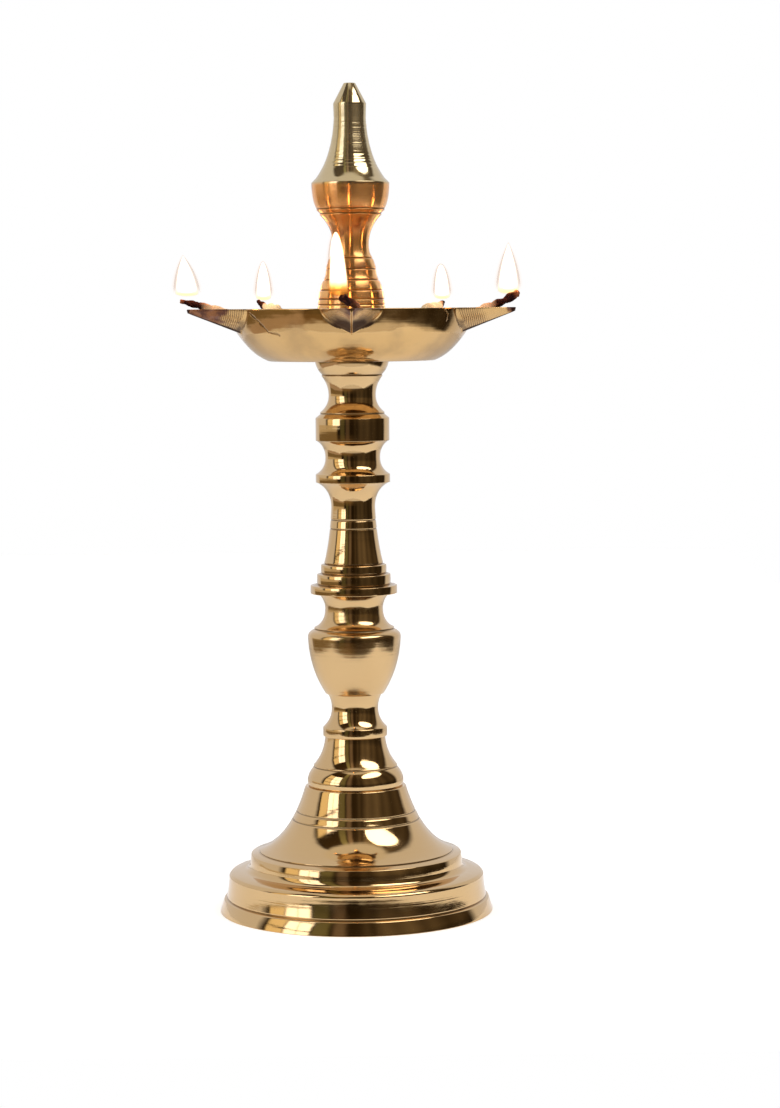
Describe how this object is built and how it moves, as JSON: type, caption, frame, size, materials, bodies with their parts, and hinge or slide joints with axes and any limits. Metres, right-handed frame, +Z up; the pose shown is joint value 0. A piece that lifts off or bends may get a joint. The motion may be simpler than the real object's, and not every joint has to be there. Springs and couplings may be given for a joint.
{
  "type": "standing brass oil lamp",
  "caption": "Tall turned brass diya on a bell foot, with a baluster stem, a shallow oil bowl with pointed wick spouts and a tall finial.",
  "frame": {"origin": "on the resting plane, under the middle of the part's box; the stem's axis is a few millimetres behind it, because the bowl's five spouts reach further forward than back", "axes": "+Z up along the stem, -Y to the front, where one spout points, +X to the right"},
  "size_m": [0.1231, 0.1138, 0.3048],
  "materials": {
    "brass_foot": "bright turned and lacquered",
    "brass_stem": "bright turned and lacquered",
    "brass_bowl": "satin, filed by hand at the spouts",
    "brass_finial": "bright turned and lacquered",
    "cotton_wick": "twisted cotton, oiled, charred at the tip"
  },
  "bodies": {
    "stand": {"foot": "brass_foot", "knop": "brass_stem", "collar": "brass_stem", "urn": "brass_stem", "column": "brass_stem", "baluster": "brass_stem"},
    "bowl": {"bowl": "brass_bowl"},
    "finial": {"finial": "brass_finial"},
    "wick_front": {"wick_front": "cotton_wick"},
    "wick_right": {"wick_right": "cotton_wick"},
    "wick_back_right": {"wick_back_right": "cotton_wick"},
    "wick_back_left": {"wick_back_left": "cotton_wick"},
    "wick_left": {"wick_left": "cotton_wick"}
  },
  "joints": [
    {"name": "bowl_lift", "type": "slide", "parent": "stand", "child": "bowl", "axis": [0, 0, 1], "range_m": [0, 0.02]},
    {"name": "finial_lift", "type": "slide", "parent": "bowl", "child": "finial", "axis": [0, 0, 1], "range_m": [0, 0.03]},
    {"name": "wick_front_draw", "type": "slide", "parent": "bowl", "child": "wick_front", "axis": [0, -0.9426, 0.3339], "range_m": [0, 0.008]},
    {"name": "wick_right_draw", "type": "slide", "parent": "bowl", "child": "wick_right", "axis": [0.8965, -0.2913, 0.3339], "range_m": [0, 0.008]},
    {"name": "wick_back_right_draw", "type": "slide", "parent": "bowl", "child": "wick_back_right", "axis": [0.554, 0.7626, 0.3339], "range_m": [0, 0.008]},
    {"name": "wick_back_left_draw", "type": "slide", "parent": "bowl", "child": "wick_back_left", "axis": [-0.554, 0.7626, 0.3339], "range_m": [0, 0.008]},
    {"name": "wick_left_draw", "type": "slide", "parent": "bowl", "child": "wick_left", "axis": [-0.8965, -0.2913, 0.3339], "range_m": [0, 0.008]}
  ]
}
